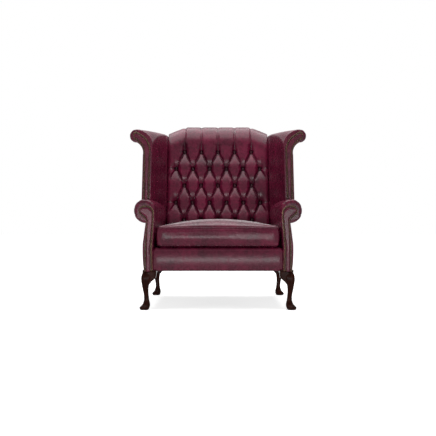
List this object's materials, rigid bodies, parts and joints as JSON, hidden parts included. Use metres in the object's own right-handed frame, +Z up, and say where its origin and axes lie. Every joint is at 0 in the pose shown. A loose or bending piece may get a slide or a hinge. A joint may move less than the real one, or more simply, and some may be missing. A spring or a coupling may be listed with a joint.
{
  "type": "wing armchair",
  "caption": "High back leather wing chair, one and a half seats wide, with buttoned back, scroll arms, nailed facings, cabriole legs and a loose seat cushion.",
  "frame": {"origin": "on the floor, at the centre of the chair's width and depth", "axes": "+Z up, the chair faces -Y, +X to the right as seen from in front"},
  "size_m": [1.024, 0.85, 1.1],
  "materials": {
    "antiqued_leather": "satin, two-tone burgundy",
    "dark_mahogany": "satin polish",
    "frame_beech": "raw sawn",
    "antique_brass": "aged",
    "spring_steel": "drawn wire",
    "jute_webbing": "woven",
    "black_cambric": "woven",
    "cushion_filling": "foam and fibre",
    "zip_tape": "woven tape with a coil"
  },
  "bodies": {
    "chair": {"back_buttons": "antiqued_leather", "back_pad": "antiqued_leather", "back_stuffing_rail": "frame_beech", "back_top_rail": "frame_beech", "back_webbing": "jute_webbing", "corner_blocks": "frame_beech", "dust_cover": "black_cambric", "front_border": "antiqued_leather", "front_seat_rail": "frame_beech", "left_arm_board": "frame_beech", "left_arm_facing": "antiqued_leather", "left_arm_nails": "antique_brass", "left_arm_pad": "antiqued_leather", "left_arm_post": "frame_beech", "left_arm_tack_rail": "frame_beech", "left_back_post": "frame_beech", "left_front_leg": "dark_mahogany", "left_outside_arm": "antiqued_leather", "left_outside_wing": "antiqued_leather", "left_rear_leg": "dark_mahogany", "left_seat_rail": "frame_beech", "left_wing_facing": "antiqued_leather", "left_wing_nails": "antique_brass", "left_wing_pad": "antiqued_leather", "left_wing_post": "frame_beech", "left_wing_top_rail": "frame_beech", "leg_bolts": "spring_steel", "outside_back": "antiqued_leather", "rear_seat_rail": "frame_beech", "right_arm_board": "frame_beech", "right_arm_facing": "antiqued_leather", "right_arm_nails": "antique_brass", "right_arm_pad": "antiqued_leather", "right_arm_post": "frame_beech", "right_arm_tack_rail": "frame_beech", "right_back_post": "frame_beech", "right_front_leg": "dark_mahogany", "right_outside_arm": "antiqued_leather", "right_outside_wing": "antiqued_leather", "right_rear_leg": "dark_mahogany", "right_seat_rail": "frame_beech", "right_wing_facing": "antiqued_leather", "right_wing_nails": "antique_brass", "right_wing_pad": "antiqued_leather", "right_wing_post": "frame_beech", "right_wing_top_rail": "frame_beech", "seat_deck": "antiqued_leather", "seat_springs": "spring_steel", "spring_clips": "spring_steel"},
    "seat_cushion": {"cushion_cover": "antiqued_leather", "cushion_core": "cushion_filling", "cushion_zip": "zip_tape"}
  },
  "joints": [
    {"name": "cushion_lift", "type": "slide", "parent": "chair", "child": "seat_cushion", "axis": [0, 0, 1], "range_m": [0, 0.3]}
  ]
}
